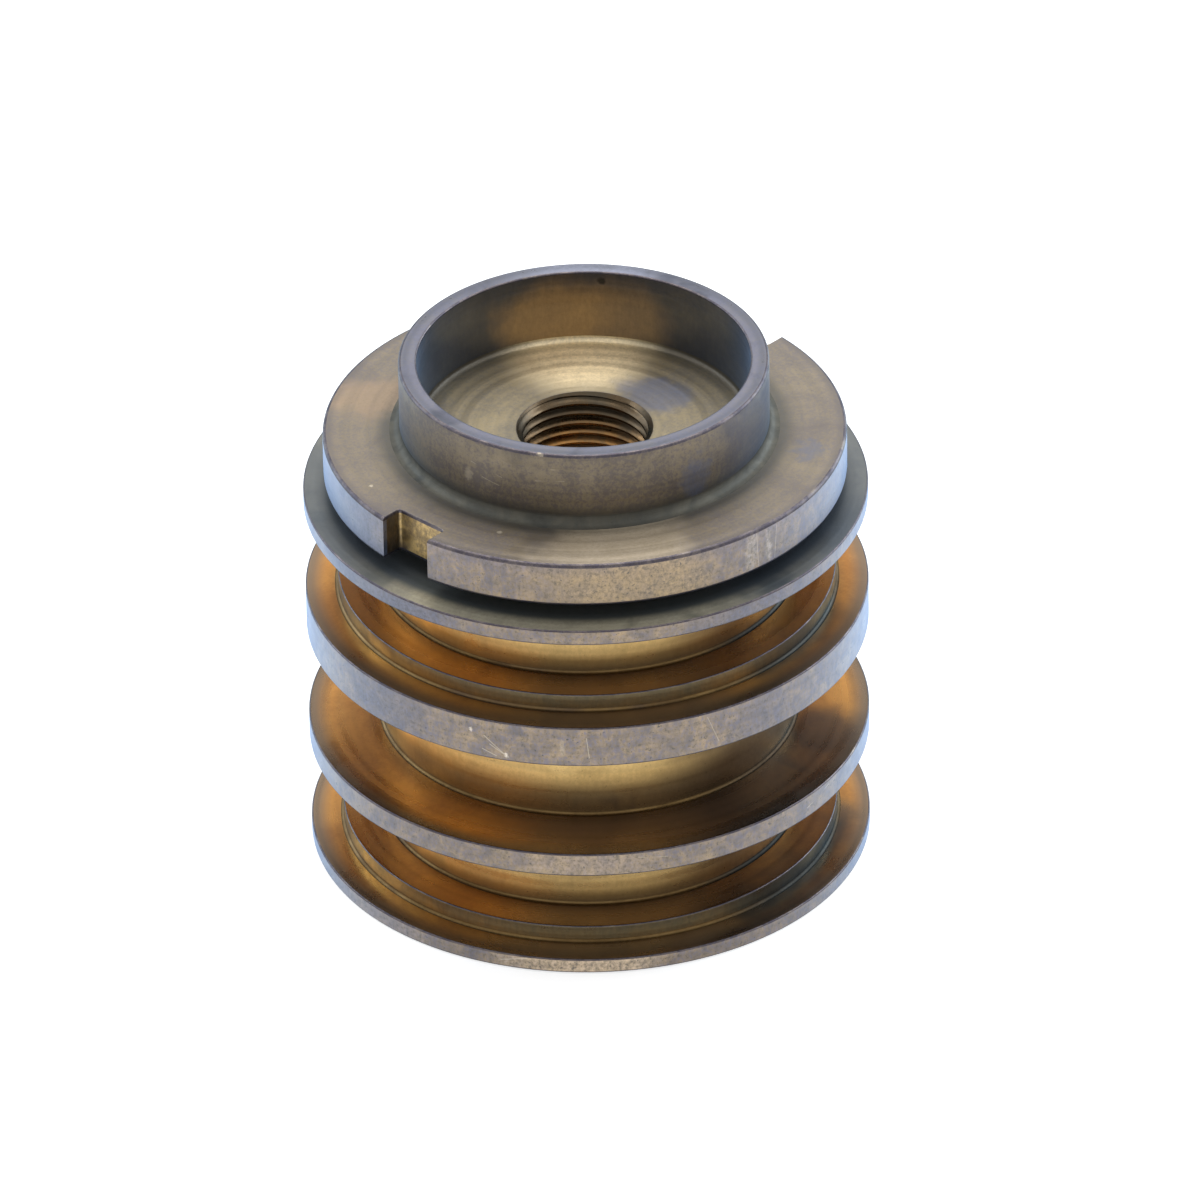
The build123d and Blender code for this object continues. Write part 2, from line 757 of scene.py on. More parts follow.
@dataclass(frozen=True)
class Band:
    """A colour that grows from one height or radius to another: painted shade where surfaces meet, and
    rings of tarnish.

    Begin and end are heights, or radii where by_radius is set. Above and below, where they are given,
    keep the band to the heights between them. All are in millimetres.
    """

    colour: Colour
    begin: float
    end: float
    by_radius: bool = False
    strength: float = 0.8
    above: float | None = None
    below: float | None = None

    def lay(self, bench: NodeBench, radius: Plug, height: Plug, under: Plug) -> bpy.types.NodeSocket:
        """Lay the band over a colour.

        Args:
            bench: Where the nodes go.
            radius: Distance from the axis.
            height: Height above the foot.
            under: The colour below it.

        Returns:
            The colour with the band on it.
        """
        share = bench.rise(radius if self.by_radius else height, self.begin, self.end)
        if self.above is not None:
            share = bench.sum("MULTIPLY", share, bench.sum("GREATER_THAN", height, self.above))
        if self.below is not None:
            share = bench.sum("MULTIPLY", share, bench.sum("LESS_THAN", height, self.below))
        return bench.blend(bench.sum("MULTIPLY", share, self.strength), under, self.colour)


@dataclass(frozen=True)
class LatheMarks:
    """The marks, the oxide film and the haze that every finish shares.

    Patches and stains are patterns per patch, the rings per line pitch, and the others per millimetre.
    Streaks are read in a space that is stretched along the axis. Names in mm are lengths, those with
    begins, full, low, high or middle are levels of noise, and the rest are shares or settings of the
    metal's shader.
    """

    patches: Grain = Grain(1.0, 4, 0.62, 0.6)
    stains: Grain = Grain(0.55, 3, 0.65, 0.4)
    stain_begins: float = 0.72
    stain_softness: float = 0.1
    cover: float = 0.3
    fine_rings: Grain = Grain(1.0, 1, 0.5)
    coarse_rings: Grain = Grain(0.2, 1, 0.5)
    fine_share: float = 0.6
    coarse_share: float = 0.4
    ring_low: float = 0.3
    ring_high: float = 0.7
    ring_wander: Grain = Grain(0.12, 0)
    wander_mm: float = 0.06
    specks: Grain = Grain(3.0, 2, 0.75)
    pits: Grain = Grain(3.9, 1, 0.5)
    pit_begins: float = 0.29
    pit_full: float = 0.23
    pit_depth: float = 0.6
    streaks: Grain = Grain(1.0, 2, 0.7)
    streak_stretch: tuple[float, float, float] = (2.6, 2.6, 0.9)
    streak_low: float = 0.3
    streak_high: float = 0.72
    streak_middle: float = 0.45
    darkest: float = 0.15
    relief_mm: float = 0.04
    relief_of_specks: float = 0.35
    gloss_of_patches: float = 0.5
    gloss_of_rings: float = 0.18
    film_index: float = 1.9
    edge_tint: Colour = (0.72, 0.9, 1.0)
    haze_tint: Colour = (0.36, 0.58, 1.0)


MARKS = LatheMarks()


@dataclass(frozen=True)
class TurnedBrass:
    """Brass turned on a lathe, then tarnished unevenly.

    Clean metal shows between patches of tarnish, with a few deep stains, and fine rings, streaks and
    specks lighten and darken all of it. Tarnished and blackened say how much the patches and the deep
    stains cover. Patch and line_pitch are sizes in millimetres. Grain roughens the patches' edges
    and softness blurs them. Film is the clear oxide and haze the pale bloom at a glancing angle. A metal
    below 1 is brass under a dull coat. Bands, spots and scratches lie over all this, in that order.
    """

    name: str
    clean: Colour
    tarnish: Colour
    deep: Colour
    tarnished: float = 0.5
    blackened: float = 0.15
    patch: float = 5.0
    grain: float = 0.45
    softness: float = 0.2
    line_pitch: float = 0.16
    lines: float = 0.25
    streaks: float = 0.3
    specks: float = 0.3
    roughness: float = 0.42
    anisotropy: float = 0.3
    film: float = 0.5
    film_roughness: float = 0.35
    haze: float = 0.3
    haze_spread: float = 0.35
    bump: float = 0.25
    metal: float = 1.0
    bands: tuple[Band, ...] = ()
    spots: tuple[Spot, ...] = ()
    scratches: tuple[Scratch, ...] = ()

    def material(self) -> bpy.types.Material:
        """Build the material.

        Returns:
            The finished material.
        """
        mat = bpy.data.materials.new(self.name)
        mat.use_nodes = True
        bench = NodeBench(mat.node_tree)
        shader = mat.node_tree.nodes["Principled BSDF"]
        metres = bench.add("TexCoord").outputs["Object"]
        point = bench.times(metres, 1 / MM)
        axes = bench.add("SeparateXYZ", {0: point}).outputs
        flat = bench.add("CombineXYZ", {0: axes[0], 1: axes[1]}).outputs[0]
        radius = bench.add("VectorMath", {0: flat}, operation="LENGTH").outputs["Value"]
        patches = MARKS.patches.read(bench, point, self.patch)
        lines = self._lines(bench, point, radius, axes[2])
        specks = MARKS.specks.read(bench, point)
        colour = self._tarnish(bench, point, patches, specks)
        for band in self.bands:
            colour = band.lay(bench, radius, axes[2], colour)
        for spot in self.spots:
            colour = spot.lay(bench, point, colour)
        colour = bench.times(colour, self._shade(bench, point, lines, specks))
        for scratch in self.scratches:
            colour = scratch.lay(bench, point, colour)
        bench.plug(shader.inputs["Base Color"], colour)
        bench.plug(shader.inputs["Roughness"], self._gloss(bench, patches, lines))
        self._surface(bench, shader, lines, specks)
        return mat

    def _lines(self, bench: NodeBench, point: Plug, radius: Plug, height: Plug) -> bpy.types.NodeSocket:
        """The tool's fine rings, which run round every surface and fade in and out.

        Args:
            bench: Where the nodes go.
            point: The place on the part.
            radius: Distance from the axis.
            height: Height above the foot.

        Returns:
            Noise that changes only across the rings, from 0 to 1.
        """
        wander = bench.sum("MULTIPLY", MARKS.ring_wander.read(bench, point), MARKS.wander_mm)
        across = bench.add("CombineXYZ", {0: bench.sum("ADD", radius, wander), 1: height}).outputs[0]
        fine = MARKS.fine_rings.read(bench, across, self.line_pitch)
        coarse = MARKS.coarse_rings.read(bench, across, self.line_pitch)
        both = bench.sum("ADD", bench.sum("MULTIPLY", fine, MARKS.fine_share),
                         bench.sum("MULTIPLY", coarse, MARKS.coarse_share))
        return bench.rise(both, MARKS.ring_low, MARKS.ring_high)

    def _tarnish(self, bench: NodeBench, point: Plug, patches: Plug, specks: Plug) -> bpy.types.NodeSocket:
        """Clean brass under patches of tarnish and a few deep stains.

        Args:
            bench: Where the nodes go.
            point: The place on the part.
            patches: Noise at the size of the patches.
            specks: Fine noise.

        Returns:
            The metal's colour.
        """
        middle = 0.5 + MARKS.cover * (0.5 - self.tarnished)
        fine = bench.sum("MULTIPLY", bench.sum("SUBTRACT", specks, 0.5), self.grain)
        cloud = bench.rise(bench.sum("ADD", patches, fine), middle - self.softness, middle + self.softness)
        colour = bench.blend(cloud, self.clean, self.tarnish)
        edge = MARKS.stain_begins - MARKS.cover * self.blackened
        low, high = edge - MARKS.stain_softness, edge + MARKS.stain_softness
        stain = bench.rise(MARKS.stains.read(bench, point, self.patch), low, high)
        return bench.blend(stain, colour, self.deep)

    def _shade(self, bench: NodeBench, point: Plug, lines: Plug, specks: Plug) -> bpy.types.NodeSocket:
        """How rings, streaks, specks and pits lighten or darken the metal.

        Args:
            bench: Where the nodes go.
            point: The place on the part.
            lines: Noise of the tool's rings.
            specks: Fine noise.

        Returns:
            The factor on the colour, near 1.
        """
        stretch = {0: point, 1: MARKS.streak_stretch}
        stretched = bench.add("VectorMath", stretch, operation="MULTIPLY").outputs[0]
        streak = bench.rise(MARKS.streaks.read(bench, stretched), MARKS.streak_low, MARKS.streak_high)
        marks = ((lines, 0.5, self.lines), (streak, MARKS.streak_middle, self.streaks),
                 (specks, 0.5, 2 * self.specks))
        shade: Plug = 1
        for pattern, middle, depth in marks:
            change = bench.sum("MULTIPLY", bench.sum("SUBTRACT", pattern, middle), depth)
            shade = bench.sum("ADD", shade, change)
        pits = bench.rise(MARKS.pits.read(bench, point), MARKS.pit_begins, MARKS.pit_full)
        shade = bench.sum("SUBTRACT", shade, bench.sum("MULTIPLY", pits, MARKS.pit_depth * self.specks))
        return bench.sum("MAXIMUM", shade, MARKS.darkest)

    def _gloss(self, bench: NodeBench, patches: Plug, lines: Plug) -> bpy.types.NodeSocket:
        """Roughness that changes with the patches and the tool's rings.

        Args:
            bench: Where the nodes go.
            patches: Noise at the size of the patches.
            lines: Noise of the tool's rings.

        Returns:
            The roughness, from 0 to 1.
        """
        matt = bench.sum("MULTIPLY", bench.sum("SUBTRACT", patches, 0.5), MARKS.gloss_of_patches)
        grain = bench.sum("MULTIPLY", bench.sum("SUBTRACT", lines, 0.5), MARKS.gloss_of_rings)
        return bench.sum("ADD", bench.sum("ADD", matt, grain), self.roughness, True)

    def _surface(self, bench: NodeBench, shader: bpy.types.Node, lines: Plug, specks: Plug) -> None:
        """Set the metal, its oxide film, its haze and its fine relief.

        Args:
            bench: Where the nodes go.
            shader: The material's main shader.
            lines: Noise of the tool's rings.
            specks: Fine noise.
        """
        settings = {
            "Metallic": self.metal,
            "Specular Tint": MARKS.edge_tint,
            "Anisotropic": self.anisotropy,
            "Coat Weight": self.film,
            "Coat IOR": MARKS.film_index,
            "Coat Roughness": self.film_roughness,
            "Sheen Weight": self.haze,
            "Sheen Roughness": self.haze_spread,
            "Sheen Tint": MARKS.haze_tint,
        }
        for name, value in settings.items():
            bench.plug(shader.inputs[name], value)
        tangent = bench.add("Tangent", direction_type="RADIAL", axis="Z").outputs[0]
        bench.plug(shader.inputs["Tangent"], tangent)
        relief = bench.sum("ADD", lines, bench.sum("MULTIPLY", specks, MARKS.relief_of_specks))
        depth = MARKS.relief_mm * MM
        bumps = bench.add("Bump", {"Height": relief, "Strength": self.bump, "Distance": depth})
        bench.plug(shader.inputs["Normal"], bumps.outputs[0])


SIENNA = (0.58, 0.275, 0.062)
SAND = (0.28, 0.19, 0.085)
VIOLET = (0.082, 0.067, 0.078)
UMBER = (0.10, 0.07, 0.045)
# Painted shadow and dark reflection of the flange, laid on the top land's upper face.
UNDER_FLANGE_SHADE = (0.055, 0.068, 0.075)
OCHRE = (0.29, 0.19, 0.06)
# Painted shade on the top land's upper face, where it lies under the flange at the sides.
SEAT_SIDE_SHADE = (0.07, 0.08, 0.095)
# Dark bluish grey; on the rims it is painted reflection.
DUSK = (0.055, 0.055, 0.085)
PALE = (0.50, 0.43, 0.32)
CHIP = (0.72, 0.64, 0.52)
SLATE = (0.08, 0.10, 0.17)
# Greyish fawn, painted reflection on the foot land's left.
FAWN = (0.26, 0.20, 0.16)
# Painted highlights on the front of the foot land and the lower land.
BRIGHT_FRONT_HIGHLIGHT = (0.56, 0.42, 0.26)
WARM_FRONT_HIGHLIGHT = (0.40, 0.28, 0.15)
# Painted shade at the foot of each groove's core and at its top, under the land.
GROOVE_FOOT_SHADE = (0.09, 0.06, 0.035)
GROOVE_HEAD_SHADE = (0.20, 0.13, 0.06)

STEP_FEET = (PistonBody.foot_top, PistonBody.middle_top)
LOWER_STEP_TOP, UPPER_STEP_TOP = (foot + PistonBody.step_height for foot in STEP_FEET)
CORE_FEET = (LOWER_STEP_TOP, PistonBody.lower_top, UPPER_STEP_TOP)
CORE_MIDDLES = (5.0, 15.5, 29.0)


def rim_stains_and_reflections() -> tuple[Spot, ...]:
    """The stains, worn marks and chips on the rims of the lands and the flange, and painted reflections on
    the rims' front and sides.

    Returns:
        The spots in the order in which they are laid.
    """
    land, flange = PistonBody.land_r, PistonBody.flange_r
    return (
        # Painted reflection: the DUSK spots, darker and bluish, about halfway round to either side of the
        # lands and the flange.
        Spot(-183, land, 23.6, 7.0, DUSK, strength=0.55, tall=0.7, ragged=0.4),
        Spot(-98, land, 23.6, 6.0, DUSK, strength=0.4, tall=0.7, ragged=0.5),
        Spot(-184, land, 35.0, 12.0, DUSK, strength=0.75, tall=0.5, ragged=0.3),
        Spot(158, flange, 39.0, 9.0, DUSK, strength=0.7, tall=0.5, ragged=0.4),
        Spot(-128, flange, 38.6, 11.0, OCHRE, strength=0.55, tall=0.5, ragged=0.5),
        Spot(-100, land, 34.6, 11.0, DUSK, strength=0.6, tall=0.2, ragged=0.3),
        Spot(-173, land, 34.6, 7.0, DUSK, strength=0.5, tall=0.2, ragged=0.3),
        # Painted reflection: the foot land greyer on its left.
        Spot(174, land, 0.7, 10.0, FAWN, strength=0.45, tall=0.3, ragged=0.4),
        Spot(-120, land, 23.6, 1.6, UMBER, strength=0.35, tall=2.0),
        Spot(-142, land, 23.6, 0.3, PALE, strength=0.25, tall=4.0),
        Spot(-153.4, land, 22.3, 0.25, CHIP, strength=0.6, tall=1.2, ragged=0.9),
        Spot(-161, land, 24.4, 0.2, CHIP, strength=0.5, tall=1.5, ragged=0.9),
        # Painted highlight: the foot land and the lower land are lighter over their front.
        Spot(-138, land, 0.6, 9.0, BRIGHT_FRONT_HIGHLIGHT, strength=0.65, tall=0.5, ragged=0.5),
        Spot(-137, land, 11.3, 8.0, WARM_FRONT_HIGHLIGHT, strength=0.35, tall=0.5, ragged=0.5),
        Spot(-98, flange, 39, 0.9, PALE, strength=0.25, tall=4.0),
        Spot(-93, flange, 39, 0.5, PALE, strength=0.3, tall=4.0),
    )


def rim_scratches() -> tuple[Scratch, ...]:
    """The scratches on the rims of the lands and the flange.

    Returns:
        The scratches in the order in which they are laid.
    """
    land, flange = PistonBody.land_r, PistonBody.flange_r
    return (
        Scratch(land, (-158.2, 24.0), (-153.6, 22.3), 0.06, PALE, strength=0.6),
        Scratch(land, (-157.0, 23.2), (-154.0, 22.4), 0.06, PALE, strength=0.6),
        Scratch(land, (-158.6, 22.6), (-155.6, 22.1), 0.05, PALE, strength=0.7),
        Scratch(land, (-137.1, 24.6), (-136.6, 22.6), 0.06, PALE, strength=0.5),
        Scratch(land, (-112.0, 25.2), (-109.5, 22.4), 0.05, PALE, strength=0.4),
        Scratch(land, (-127.0, 11.9), (-121.0, 11.6), 0.05, PALE, strength=0.4),
        Scratch(flange, (-90.5, 40.8), (-91.2, 37.6), 0.06, PALE, strength=0.4),
        Scratch(flange, (-96.5, 40.9), (-96.0, 37.5), 0.07, PALE, strength=0.4),
        Scratch(land, (-79.0, 12.0), (-86.5, 11.2), 0.06, CHIP, strength=0.5),
        Scratch(land, (-150.0, 1.2), (-155.5, 0.7), 0.07, CHIP, strength=0.5),
        Scratch(land, (40.0, 24.8), (43.5, 22.5), 0.05, PALE, strength=0.6),
        Scratch(land, (118.0, 12.1), (121.5, 10.8), 0.05, PALE, strength=0.5),
    )


def rim_finishes() -> dict[Surface, TurnedBrass]:
    """The rims, which handling keeps worn, and their broken edges.

    Returns:
        The finish of each of these surfaces.
    """
    rim = TurnedBrass(
        "rim_brass", clean=SAND, tarnish=VIOLET, deep=UMBER,
        tarnished=0.55, blackened=0.1, patch=1.4, grain=1.6, softness=0.36, line_pitch=0.5, lines=0.35,
        streaks=0.3, specks=1.6, roughness=0.42, film=0.75, haze=1.0, haze_spread=0.43, metal=0.9,
        bands=(Band((0.11, 0.085, 0.09), 39.4, 41.2, strength=0.55),),
        spots=rim_stains_and_reflections(), scratches=rim_scratches())
    # The rounded edges are dark, with one pale chip on the cup's rim.
    edge = TurnedBrass(
        "dark_edge_line", clean=(0.13, 0.11, 0.11), tarnish=(0.06, 0.052, 0.065), deep=(0.2, 0.17, 0.14),
        tarnished=0.65, blackened=0.1, patch=2.0, grain=1.2, line_pitch=0.6, lines=0.1, streaks=0.0,
        specks=0.6, roughness=0.45, film=0.1, haze=0.1,
        spots=(Spot(-150.5, 16.2, 48.2, 0.35, PALE, strength=0.5, ragged=0.8),))
    return {Surface.RIM: rim, Surface.EDGE: edge}


def groove_finishes() -> dict[Surface, TurnedBrass]:
    """The grooves' faces, undersides, steps, cores and corners, which the seals covered.

    Returns:
        The finish of each of these surfaces.
    """
    step_r, core_r = PistonBody.step_r, PistonBody.core_r
    plain_foot = PistonBody.lower_top
    lower_foot, upper_foot = STEP_FEET
    # Painted shade: the grooves' faces are darker over the front.
    front_face_shade = Spot(-128, 23.0, 0, 16.0, (0.19, 0.135, 0.09), strength=0.8, ragged=0.2)
    # Darker over the foot of each step, from bearing -52 to -97.
    lower_step_dark = Spot(0, 21.4, lower_foot, 3.7, (0.05, 0.055, 0.055), strength=0.7, tall=0.6, ragged=0.1)
    upper_step_dark = Spot(0, 21.2, upper_foot, 3.4, (0.07, 0.06, 0.05), strength=0.6, tall=0.6, ragged=0.1)
    face = TurnedBrass(
        "groove_brass", clean=SIENNA, tarnish=(0.42, 0.185, 0.045), deep=UMBER,
        tarnished=0.4, blackened=0.0, patch=8.0, line_pitch=0.9, lines=0.3, streaks=0.0, specks=0.1,
        roughness=0.3, film=0.1, haze=0.05, bump=0.08,
        bands=(Band((0.17, 0.135, 0.10), 23.0, 24.7, by_radius=True, strength=0.85),),
        spots=(*front_face_shade.at_heights(*CORE_FEET),
               Spot(-88, 21.0, plain_foot, 12.0, (0.085, 0.062, 0.042), strength=0.7, ragged=0.15),
               *lower_step_dark.at_bearings(-52, -61, -70, -79, -88, -97),
               *upper_step_dark.at_bearings(-64, -73, -82, -91),
               Spot(-61, 21.6, plain_foot, 5.4, (0.07, 0.055, 0.045), strength=0.75, ragged=0.2)))
    # Painted shade: the down-facing faces, the foot and the flange's underside are a darker copy of the
    # grooves' brass.
    under = TurnedBrass(
        "land_underside", clean=(0.22, 0.13, 0.06), tarnish=(0.14, 0.09, 0.05), deep=UMBER,
        tarnished=0.5, blackened=0.0, patch=8.0, line_pitch=0.8, lines=0.2, streaks=0.0, specks=0.1,
        roughness=0.38, film=0.1, haze=0.0)
    step = TurnedBrass(
        "step_brass", clean=(0.27, 0.22, 0.12), tarnish=(0.165, 0.145, 0.09), deep=UMBER,
        tarnished=0.5, blackened=0.2, patch=4.0, line_pitch=0.6, lines=0.3, streaks=0.15, specks=0.2,
        roughness=0.4, film=0.15, haze=0.1,
        spots=(Spot(-78, step_r, 2.4, 12.5, (0.022, 0.03, 0.033), strength=0.9, ragged=0.15),
               Spot(-74, step_r, 26.6, 10.0, (0.035, 0.038, 0.036), strength=0.75, ragged=0.15)))
    # Painted shade together with a stain: the cores are darker on their right.
    core_shade = Spot(-74, core_r, 0, 16.0, (0.085, 0.057, 0.032), strength=0.9, ragged=0.12)
    core = TurnedBrass(
        "core_brass", clean=(0.75, 0.515, 0.20), tarnish=(0.55, 0.375, 0.14), deep=UMBER,
        tarnished=0.45, blackened=0.1, patch=5.0, grain=1.2, line_pitch=0.8, lines=0.3, streaks=0.08,
        specks=0.4, roughness=0.36, film=0.1, haze=0.0, bump=0.1, metal=0.75,
        # Painted shade: each core darkens towards the groove's floor and towards the land above it.
        bands=(Band(GROOVE_FOOT_SHADE, 29.2, 27.4, strength=0.8, above=26.5),
               Band(GROOVE_FOOT_SHADE, 16.6, 13.9, strength=0.8, above=12),
               Band(GROOVE_FOOT_SHADE, 5.1, 3.0, strength=0.8),
               Band(GROOVE_HEAD_SHADE, 30.8, 33.6, strength=0.75),
               Band(GROOVE_HEAD_SHADE, 18.2, 21.0, strength=0.75, below=24.0),
               Band(GROOVE_HEAD_SHADE, 6.8, 9.6, strength=0.75, below=11.0)),
        spots=core_shade.at_heights(*CORE_MIDDLES))
    # Painted shade: the hollow fillets at the cores' and steps' feet are dark, and darker still on the
    # right.
    core_corner = Spot(-72, 18.6, 0, 13.5, (0.045, 0.03, 0.018), strength=0.85, ragged=0.15)
    step_corner = Spot(-78, 22.2, 0, 11.5, (0.03, 0.033, 0.032), strength=0.8, ragged=0.15)
    fillet = TurnedBrass(
        "fillet_brass", clean=(0.17, 0.11, 0.045), tarnish=(0.12, 0.075, 0.03), deep=UMBER,
        tarnished=0.45, blackened=0.25, patch=6.0, line_pitch=0.6, lines=0.1, streaks=0.1, specks=0.1,
        roughness=0.5, film=0.0, haze=0.0,
        spots=(*core_corner.at_heights(*CORE_FEET), *step_corner.at_heights(*STEP_FEET)))
    return {Surface.FACE: face, Surface.UNDER: under, Surface.STEP: step, Surface.CORE: core,
            Surface.FILLET: fillet}


def cup_finishes() -> dict[Surface, TurnedBrass]:
    """The cup's wall, foot, rim, inside and floor.

    Returns:
        The finish of each of these surfaces.
    """
    outer, inner = PistonBody.cup_outer_r, PistonBody.cup_inner_r
    floor_z, rim_z = PistonBody.floor_z, PistonBody.rim_z
    outside = TurnedBrass(
        "cup_outside", clean=(0.20, 0.155, 0.095), tarnish=(0.105, 0.082, 0.068),
        deep=(0.05, 0.042, 0.04),
        tarnished=0.5, blackened=0.3, patch=5.0, grain=1.3, line_pitch=0.6, lines=0.15, streaks=0.12,
        specks=0.45, roughness=0.45, film=0.25, haze=0.25, metal=0.7,
        # Painted shade: darker towards the cup's foot.
        bands=(Band((0.05, 0.045, 0.035), 43.6, 42.0, strength=0.8),),
        spots=(Spot(-100, outer, 44.0, 2.2, SLATE, strength=0.5, tall=1.2),
               Spot(-70, outer, 45.5, 8.0, DUSK, strength=0.5, ragged=0.4),
               Spot(-175, outer, 44.5, 0.6, PALE, strength=0.3, tall=1.5)),
        scratches=(Scratch(outer, (-174.0, 45.9), (-163.0, 45.2), 0.06, PALE, strength=0.35),
                   Scratch(outer, (-170.0, 44.7), (-164.0, 44.3), 0.06, PALE, strength=0.35),
                   Scratch(outer, (-152.0, 45.5), (-143.0, 45.7), 0.06, PALE, strength=0.3),
                   Scratch(outer, (-147.0, 46.8), (-137.0, 46.9), 0.05, PALE, strength=0.3)))
    # Painted shade: the fillet at the cup's foot is near black.
    foot = TurnedBrass(
        "cup_foot", clean=(0.10, 0.09, 0.068), tarnish=(0.07, 0.066, 0.055), deep=(0.05, 0.05, 0.045),
        tarnished=0.5, blackened=0.3, patch=3.0, lines=0.2, streaks=0.0, specks=0.3, roughness=0.6,
        film=0.0, haze=0.0, metal=0.6)
    rim = TurnedBrass(
        "cup_rim", clean=(0.15, 0.135, 0.145), tarnish=(0.105, 0.10, 0.13), deep=(0.05, 0.045, 0.06),
        tarnished=0.6, blackened=0.25, patch=3.0, grain=0.9, line_pitch=0.6, lines=0.2, streaks=0.0,
        specks=0.35, roughness=0.42, film=0.4, haze=0.5,
        spots=(Spot(43, 15.5, rim_z, 9.0, (0.24, 0.24, 0.30), strength=0.75, ragged=0.3),))
    inside = TurnedBrass(
        "cup_inside", clean=(0.078, 0.072, 0.07), tarnish=(0.05, 0.052, 0.065), deep=(0.03, 0.03, 0.036),
        tarnished=0.6, blackened=0.15, patch=6.0, grain=0.8, softness=0.3, line_pitch=0.6, lines=0.2,
        streaks=0.15, specks=0.2, roughness=0.45, film=0.25, haze=0.3, metal=0.8,
        spots=(Spot(54, inner, 44.0, 7.0, (0.40, 0.25, 0.10), strength=0.7, tall=0.7, ragged=0.4),
               Spot(34, inner, 43.6, 6.5, (0.36, 0.23, 0.10), strength=0.5, tall=0.8, ragged=0.25),
               Spot(37, inner, 47.4, 0.5, (0.02, 0.015, 0.01), strength=0.95, ragged=0.2)))
    floor = TurnedBrass(
        "cup_floor", clean=(0.29, 0.235, 0.14), tarnish=(0.15, 0.13, 0.10), deep=(0.07, 0.065, 0.065),
        tarnished=0.5, blackened=0.1, patch=6.0, grain=0.9, softness=0.3, line_pitch=0.7, lines=0.35,
        streaks=0.0, specks=0.35, roughness=0.5, film=0.1, haze=0.1, metal=0.7,
        # Painted shade: darker at the foot of the cup's wall.
        bands=(Band((0.07, 0.06, 0.045), 13.9, 14.4, by_radius=True, strength=0.8),),
        # Painted highlight: the first spot is a bright patch on the floor at bearing 45.
        spots=(Spot(45, 12.5, floor_z, 8.5, (0.88, 0.73, 0.47), strength=0.85, ragged=0.15),
               Spot(-4, 8.8, floor_z, 4.2, SLATE, strength=0.6, ragged=0.6),
               Spot(-50, 11.5, floor_z, 3.0, SLATE, strength=0.4, ragged=0.7),
               Spot(-70, 9.5, floor_z, 3.0, (0.12, 0.11, 0.10), strength=0.6, ragged=0.6),
               Spot(153, 7.6, floor_z, 0.35, CHIP, strength=0.8, ragged=0.8)))
    return {Surface.CUP_OUTSIDE: outside, Surface.CUP_FOOT: foot, Surface.CUP_RIM: rim,
            Surface.CUP_INSIDE: inside, Surface.CUP_FLOOR: floor}


def flange_finishes() -> dict[Surface, TurnedBrass]:
    """The flange's top, its notches and the top land's upper face below it.

    Returns:
        The finish of each of these surfaces.
    """
    top_z, seat_z = PistonBody.flange_top, PistonBody.top_top
    top = TurnedBrass(
        "flange_top", clean=(0.235, 0.185, 0.12), tarnish=(0.145, 0.12, 0.105), deep=(0.08, 0.065, 0.055),
        tarnished=0.5, blackened=0.1, patch=6.0, grain=1.4, softness=0.3, line_pitch=0.7, lines=0.2,
        streaks=0.0, specks=0.35, roughness=0.5, film=0.1, haze=0.1, metal=0.55,
        # Painted shade: the first band darkens towards the cup's foot.
        bands=(Band((0.06, 0.056, 0.045), 19.4, 17.2, by_radius=True, strength=0.7),
               Band((0.09, 0.078, 0.088), 21.6, 23.1, by_radius=True, strength=0.45)),
        # Painted highlight: the first spot is a pale patch on the flange's top at bearing -128.
        spots=(Spot(-128, 21.5, top_z, 8.0, (0.48, 0.39, 0.27), strength=0.6, ragged=0.5),
               Spot(-60, 20.5, top_z, 2.0, SLATE, strength=0.4, ragged=1.0),
               Spot(12, 20.5, top_z, 9.0, (0.10, 0.10, 0.12), strength=0.5, ragged=0.5),
               Spot(118, 19.6, top_z, 5.0, (0.33, 0.22, 0.13), strength=0.5, ragged=0.5),
               Spot(-160, 19.0, top_z, 0.3, PALE, strength=0.8),
               Spot(160, 21.0, top_z, 0.25, PALE, strength=0.8)))
    notch = TurnedBrass(
        "notch_brass", clean=(0.60, 0.42, 0.17), tarnish=(0.26, 0.19, 0.10), deep=UMBER,
        tarnished=0.5, blackened=0.2, patch=3.0, grain=0.8, line_pitch=0.8, lines=0.05, streaks=0.3,
        specks=0.25, roughness=0.42, film=0.1, haze=0.1,
        bands=(Band((0.09, 0.075, 0.06), 21.0, 21.4, by_radius=True, strength=0.8),))
    seat = TurnedBrass(
        "top_land_brass", clean=(0.38, 0.345, 0.245), tarnish=(0.26, 0.235, 0.175),
        deep=(0.10, 0.10, 0.075),
        tarnished=0.5, blackened=0.2, patch=5.0, grain=0.8, line_pitch=0.7, lines=0.25, streaks=0.0,
        specks=0.2, roughness=0.5, film=0.1, haze=0.1, metal=0.4,
        # Painted shadow: the top land's upper face darkens inwards, under the flange.
        bands=(Band(UNDER_FLANGE_SHADE, 23.7, 22.6, by_radius=True, strength=0.9),),
        # Painted shade: the top land's upper face is darker at its two sides and on its right, under the
        # flange.
        spots=(Spot(-46, 23.8, seat_z, 20.0, SEAT_SIDE_SHADE, strength=0.8, ragged=0.2),
               Spot(-80, 24.2, seat_z, 15.0, (0.045, 0.055, 0.07), strength=0.7, ragged=0.15),
               Spot(140, 23.8, seat_z, 20.0, SEAT_SIDE_SHADE, strength=0.8, ragged=0.2)))
    return {Surface.FLANGE_TOP: top, Surface.NOTCH: notch, Surface.SEAT: seat}


